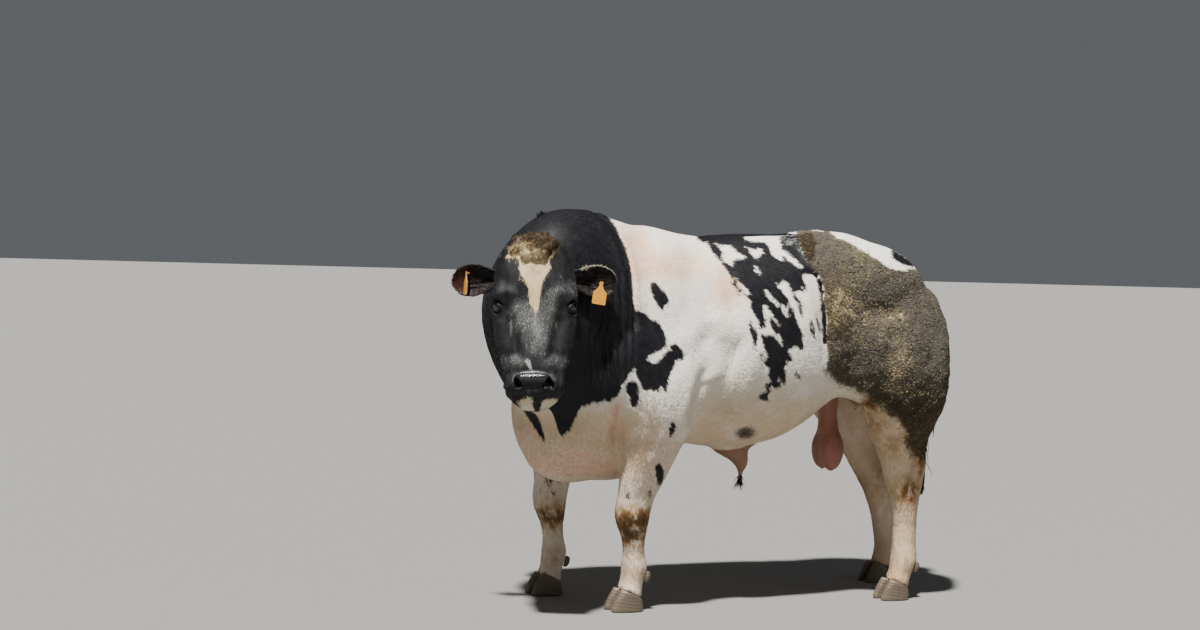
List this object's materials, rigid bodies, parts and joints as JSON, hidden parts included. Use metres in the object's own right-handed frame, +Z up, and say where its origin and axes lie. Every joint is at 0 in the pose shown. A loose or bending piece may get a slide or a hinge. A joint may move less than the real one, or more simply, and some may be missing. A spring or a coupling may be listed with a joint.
{
  "type": "belgian blue bull",
  "caption": "Life-size still model of a Belgian Blue bull standing on all four feet, its head turned to its left, with a blank tag in each ear.",
  "frame": {"origin": "on the floor, under the middle of the model's box", "axes": "+X from the chest towards the tail, +Y towards the bull's right side, +Z up"},
  "size_m": [2.2104, 0.9634, 1.4906],
  "materials": {
    "coat": "short hair, matt",
    "bare_skin": "soft skin, matt",
    "switch_hair": "long hair, satin",
    "horn": "horn, satin",
    "eye": "wet, glossy",
    "tag": "moulded plastic, satin"
  },
  "bodies": {
    "root": {"claw_fore_left_inner": "horn", "claw_fore_left_outer": "horn", "claw_fore_right_inner": "horn", "claw_fore_right_outer": "horn", "claw_hind_left_inner": "horn", "claw_hind_left_outer": "horn", "claw_hind_right_inner": "horn", "claw_hind_right_outer": "horn", "dewclaw_fore_left_inner": "horn", "dewclaw_fore_left_outer": "horn", "dewclaw_fore_right_inner": "horn", "dewclaw_fore_right_outer": "horn", "dewclaw_hind_left_inner": "horn", "dewclaw_hind_left_outer": "horn", "dewclaw_hind_right_inner": "horn", "dewclaw_hind_right_outer": "horn", "ear_left": "coat", "ear_right": "coat", "ear_tag_left": "tag", "ear_tag_right": "tag", "eye_left": "eye", "eye_right": "eye", "foreleg_left": "coat", "foreleg_right": "coat", "head": "coat", "hindleg_left": "coat", "hindleg_right": "coat", "neck": "coat", "scrotum": "bare_skin", "sheath": "bare_skin", "tail": "coat", "tail_switch": "switch_hair", "torso": "coat"}
  },
  "joints": []
}
